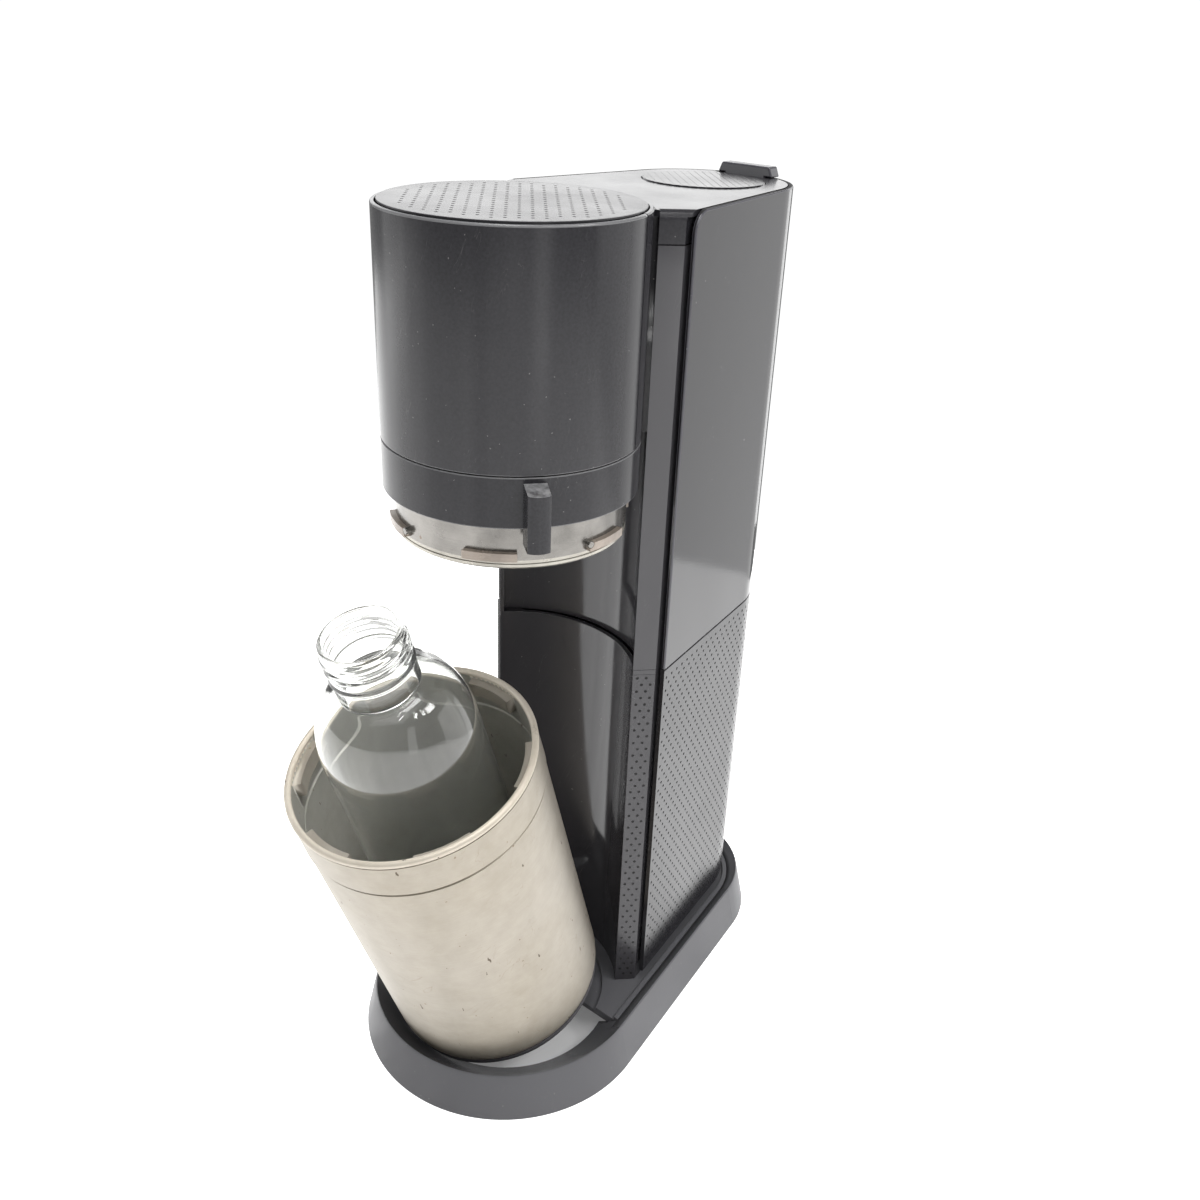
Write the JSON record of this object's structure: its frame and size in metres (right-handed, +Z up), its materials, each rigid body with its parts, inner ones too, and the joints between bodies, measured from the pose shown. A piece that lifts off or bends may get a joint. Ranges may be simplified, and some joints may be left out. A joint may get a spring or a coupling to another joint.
{
  "type": "sparkling water maker",
  "caption": "Countertop sparkling water maker: round head on a tapering tower, a leaning steel canister with a glass carafe, a lock ring with a side lever and a push button on top.",
  "frame": {"origin": "middle of the footprint's box, on the surface that the feet stand on", "axes": "+Z up, front faces -Y, +X on the right seen from the front"},
  "size_m": [0.1564, 0.311, 0.4395],
  "materials": {
    "charcoal": "satin-gloss charcoal plastic, dusty",
    "black_gloss": "gloss black plastic",
    "base_grey": "matt dark grey plastic",
    "canister_steel": "worn warm brushed steel",
    "collar_metal": "dull scratched metal",
    "inner_steel": "plain steel",
    "cylinder_alu": "satin aluminium",
    "brass": "turned brass",
    "rubber": "black rubber",
    "white_plastic": "natural white plastic",
    "clear_glass": "clear glass with a faint green edge"
  },
  "bodies": {
    "stand": {"base_frame": "base_grey", "deck_tray": "base_grey", "base_plate": "base_grey", "base_feet": "rubber", "base_screws": "inner_steel", "lower_front_shell": "black_gloss", "upper_front_shell": "black_gloss", "head_frame": "white_plastic", "head_front_cover": "charcoal", "head_rear_shell": "charcoal", "top_cover": "charcoal", "vent_cap": "charcoal", "pressure_bell": "inner_steel", "nozzle_holder": "white_plastic", "bottle_seal": "rubber", "nozzle_tube": "black_gloss", "relief_valve": "brass", "gas_pipe": "inner_steel", "chassis": "inner_steel", "valve_block": "brass", "valve_screws": "inner_steel", "rocker_bracket": "inner_steel", "rocker_pin": "inner_steel", "cylinder_cradle": "black_gloss", "button_spring": "inner_steel"},
    "lock_ring": {"lock_ring": "charcoal", "ring_lever": "charcoal", "bayonet_collar": "collar_metal", "collar_pins": "brass"},
    "button": {"button_cap": "charcoal", "button_stem": "white_plastic"},
    "rocker": {"rocker_lever": "inner_steel"},
    "plunger": {"valve_plunger": "brass"},
    "cylinder": {"gas_cylinder": "cylinder_alu", "cylinder_valve": "brass"},
    "back_cover": {"back_cover_upper": "charcoal", "back_cover_lower": "charcoal", "back_handle": "black_gloss"},
    "canister": {"canister_shell": "canister_steel", "canister_rim": "canister_steel", "canister_foot": "rubber"},
    "carafe": {"glass_carafe": "clear_glass"}
  },
  "joints": [
    {"name": "button_press", "type": "slide", "parent": "stand", "child": "button", "axis": [0, 0, -1], "range_m": [0, 0.004], "stiffness_N_per_m": 1500, "springref_m": -0.004, "deforming": ["button_spring"]},
    {"name": "rocker_turn", "type": "hinge", "parent": "stand", "child": "rocker", "pos_m": [0, 0.10773, 0.4165], "axis": [1, 0, 0], "range_deg": [0, 1.8]},
    {"name": "plunger_push", "type": "slide", "parent": "stand", "child": "plunger", "axis": [0, 0, -1], "range_m": [0, 0.001]},
    {"name": "lock_turn", "type": "hinge", "parent": "stand", "child": "lock_ring", "pos_m": [0, -0.03478, 0.328], "axis": [0, 0, 1], "range_deg": [-50, 0]},
    {"name": "cylinder_turn", "type": "hinge", "parent": "stand", "child": "cylinder", "pos_m": [0, 0.07723, 0.2], "axis": [0, 0, 1], "range_deg": [0, 720]},
    {"name": "cover_off", "type": "slide", "parent": "stand", "child": "back_cover", "axis": [0, 1, 0], "range_m": [0, 0.13]},
    {"name": "canister_lift", "type": "slide", "parent": "stand", "child": "canister", "axis": [0, -0.6, 0.8], "range_m": [0, 0.15]},
    {"name": "carafe_lift", "type": "slide", "parent": "canister", "child": "carafe", "axis": [0, -0.3206, 0.9472], "range_m": [0, 0.2]}
  ],
  "couplings": [
    {"joint": "rocker_turn", "follows": "button_press", "rad_per_m": 7.0175},
    {"joint": "plunger_push", "follows": "button_press", "ratio": 0.21404}
  ]
}
